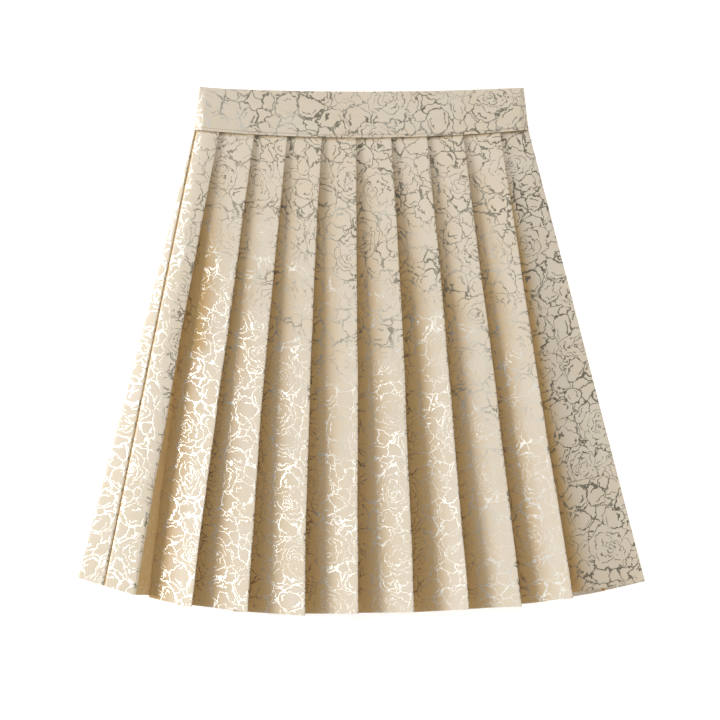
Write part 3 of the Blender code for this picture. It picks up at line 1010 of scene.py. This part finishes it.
def stitches_along(name, path, tree, settings):
    """A row of stitches along a list of points, as a plain mesh at the origin."""
    curve = bpy.data.curves.new(name + "_path", "CURVE")
    curve.dimensions = "3D"
    spline = curve.splines.new("POLY")
    spline.points.add(len(path) - 1)
    for point, place in zip(spline.points, path):
        point.co = (*place, 1.0)
    guide = bpy.data.objects.new(name + "_path", curve)
    bpy.context.collection.objects.link(guide)
    modifier = guide.modifiers.new("stitches", "NODES")
    modifier.node_group = tree
    sizes = {"Pitch": settings.pitch, "Length": settings.length, "Thread": settings.thread}
    for item in tree.interface.items_tree:
        if item.in_out == "INPUT" and item.name in sizes:
            modifier[item.identifier] = sizes[item.name]
    graph = bpy.context.evaluated_depsgraph_get()
    mesh = bpy.data.meshes.new_from_object(guide.evaluated_get(graph))
    mesh.name = name
    guide.modifiers.remove(modifier)
    bpy.data.objects.remove(guide, do_unlink=True)
    piece = bpy.data.objects.new(name, mesh)
    bpy.context.collection.objects.link(piece)
    return piece


def shared_materials():
    """The jacquard's face and its dull side, made once."""
    settings = bpy.context.scene.skirt_jacquard
    made = []
    for name, dull in (("jacquard_face", False), ("jacquard_reverse", True)):
        made.append(bpy.data.materials.get(name) or jacquard(name, settings, dull))
    return made


def carried(piece, node):
    """The piece rides on the skirt and stands for a solid, which is hidden."""
    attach(piece, "root")
    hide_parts(node)


class SKIRT_OT_front(bpy.types.Operator):
    """Makes the pleated front"""

    bl_idname = "skirt.front"
    bl_label = "Pleated front"

    def execute(self, context):
        piece = pleated_cloth("front_cloth", front_line, shared_materials(), tucked=True)
        carried(piece, "front_panel")
        return {"FINISHED"}


class SKIRT_OT_back(bpy.types.Operator):
    """Makes the pleated back"""

    bl_idname = "skirt.back"
    bl_label = "Pleated back"

    def execute(self, context):
        piece = pleated_cloth("back_cloth", back_line, shared_materials(), tucked=False)
        carried(piece, "back_panel")
        return {"FINISHED"}


class SKIRT_OT_waistband(bpy.types.Operator):
    """Makes the front and the back of the waistband, with their topstitching"""

    bl_idname = "skirt.waistband"
    bl_label = "Waistband"

    def execute(self, context):
        settings = context.scene.skirt_stitch
        face = shared_materials()[:1]
        tree = stitch_tree(thread_material(settings))
        for name, node, is_front in (
            ("waistband_front_cloth", "waistband_front", True),
            ("waistband_back_cloth", "waistband_back", False),
        ):
            band = band_shell(name, is_front, face)
            up = settings.inset / (BAND_TOP_SIDE_Y - SEAM_Y)
            level = between(BAND_FRONT_BOTTOM, BAND_FRONT_TOP, up) if is_front else BAND_BACK_LEVEL
            half = between(BAND_HALF_BOTTOM, BAND_HALF_TOP, up)
            line = band_line(half, level, is_front)
            reach = STITCH_REACH_FRONT if is_front else STITCH_REACH_BACK
            path = []
            for point, (along, lift) in zip(line, sideways(line)):
                y = seam_y(point.x) + settings.inset
                path.append((point.x + along * reach, y, point.z + lift * reach))
            sewing = stitches_along(node + "_stitches", path, tree, settings)
            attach(sewing, "root")
            carried(band, node)
        return {"FINISHED"}


def area_light(name, place, size, power):
    """A round white light that points at the origin."""
    data = bpy.data.lights.new(name, "AREA")
    data.shape = "DISK"
    data.size = size
    data.energy = power
    light = bpy.data.objects.new(name, data)
    bpy.context.collection.objects.link(light)
    light.location = place
    light.rotation_mode = "QUATERNION"
    light.rotation_quaternion = (-Vector(place)).to_track_quat("-Z", "Y")


class SKIRT_OT_stage(bpy.types.Operator):
    """Makes the floor, the lights and the camera"""

    bl_idname = "skirt.stage"
    bl_label = "Stage"

    def execute(self, context):
        settings = context.scene.skirt_stage
        size = 4.0
        mesh = bpy.data.meshes.new("floor")
        corners = [(-size, -size), (size, -size), (size, size), (-size, size)]
        mesh.from_pydata([(x, y, -0.0003) for x, y in corners], [], [(0, 1, 2, 3)])
        floor = bpy.data.objects.new("floor", mesh)
        bpy.context.collection.objects.link(floor)
        surface = Surface("pale_floor")
        surface.shader.inputs["Base Color"].default_value = (0.93, 0.93, 0.93, 1.0)
        surface.shader.inputs["Roughness"].default_value = 0.9
        surface.shader.inputs["Specular IOR Level"].default_value = 0.2
        surface.shader.inputs["Emission Color"].default_value = (1.0, 1.0, 1.0, 1.0)
        surface.shader.inputs["Emission Strength"].default_value = 0.42
        mesh.materials.append(surface.material)
        for name, place, size, power in (
            ("key", (-4.90, 0.70, 1.50), 1.3, settings.key_power),
            ("fill_waist", (0.25, 2.20, 1.60), 1.5, settings.waist_power),
            ("fill_hem", (0.25, -2.20, 1.60), 1.5, settings.hem_power),
            ("fill_right", (2.20, -0.20, 1.75), 1.5, settings.right_power),
        ):
            area_light(name, place, size, power)
        world = bpy.data.worlds.new("studio")
        world.use_nodes = True
        nodes = world.node_tree.nodes
        # The light from all round fades overhead, so that level metal thread stays dark.
        around = nodes.new("ShaderNodeTexCoord")
        parts = nodes.new("ShaderNodeSeparateXYZ")
        fade = nodes.new("ShaderNodeMapRange")
        fade.interpolation_type = "SMOOTHSTEP"
        for name, value in (("From Min", 0.72), ("From Max", 0.90), ("To Min", 1.0), ("To Max", 0.12)):
            fade.inputs[name].default_value = value
        background = nodes["Background"]
        background.inputs["Strength"].default_value = settings.sky
        world.node_tree.links.new(around.outputs["Generated"], parts.inputs[0])
        world.node_tree.links.new(parts.outputs["Z"], fade.inputs["Value"])
        world.node_tree.links.new(fade.outputs["Result"], background.inputs["Color"])
        context.scene.world = world
        context.scene.view_settings.view_transform = "Standard"
        data = bpy.data.cameras.new("camera")
        camera = bpy.data.objects.new("camera", data)
        bpy.context.collection.objects.link(camera)
        camera.location = (settings.view_x, settings.view_y + SHIFT_Y, settings.camera_height)
        data.sensor_width = 36.0
        data.lens = data.sensor_width * settings.camera_height / settings.view_width
        context.scene.camera = camera
        return {"FINISHED"}


class SKIRT_PT_panel(bpy.types.Panel):
    """Lists the skirt's pieces"""

    bl_idname = "SKIRT_PT_panel"
    bl_label = "Pleated skirt"
    bl_space_type = "VIEW_3D"
    bl_region_type = "UI"
    bl_category = "Skirt"

    def draw(self, context):
        layout = self.layout
        for group in SETTINGS:
            box = layout.box()
            settings = getattr(context.scene, group)
            for name in settings.bl_rna.properties.keys():
                if name not in ("rna_type", "name"):
                    box.prop(settings, name)
        for operator in PIECES:
            layout.operator(operator.bl_idname)


PIECES = (SKIRT_OT_back, SKIRT_OT_front, SKIRT_OT_waistband, SKIRT_OT_stage)
SETTINGS = {
    "skirt_cloth": SkirtClothSettings,
    "skirt_jacquard": SkirtJacquardSettings,
    "skirt_stitch": SkirtStitchSettings,
    "skirt_stage": SkirtStageSettings,
}


def register():
    for name, group in SETTINGS.items():
        bpy.utils.register_class(group)
        setattr(bpy.types.Scene, name, bpy.props.PointerProperty(type=group))
    for operator in PIECES:
        bpy.utils.register_class(operator)
    bpy.utils.register_class(SKIRT_PT_panel)


def unregister():
    bpy.utils.unregister_class(SKIRT_PT_panel)
    for operator in reversed(PIECES):
        bpy.utils.unregister_class(operator)
    for name, group in SETTINGS.items():
        delattr(bpy.types.Scene, name)
        bpy.utils.unregister_class(group)


def main():
    register()
    for operator in PIECES:
        group, action = operator.bl_idname.split(".")
        getattr(getattr(bpy.ops, group), action)()


if __name__ == "__main__":
    main()
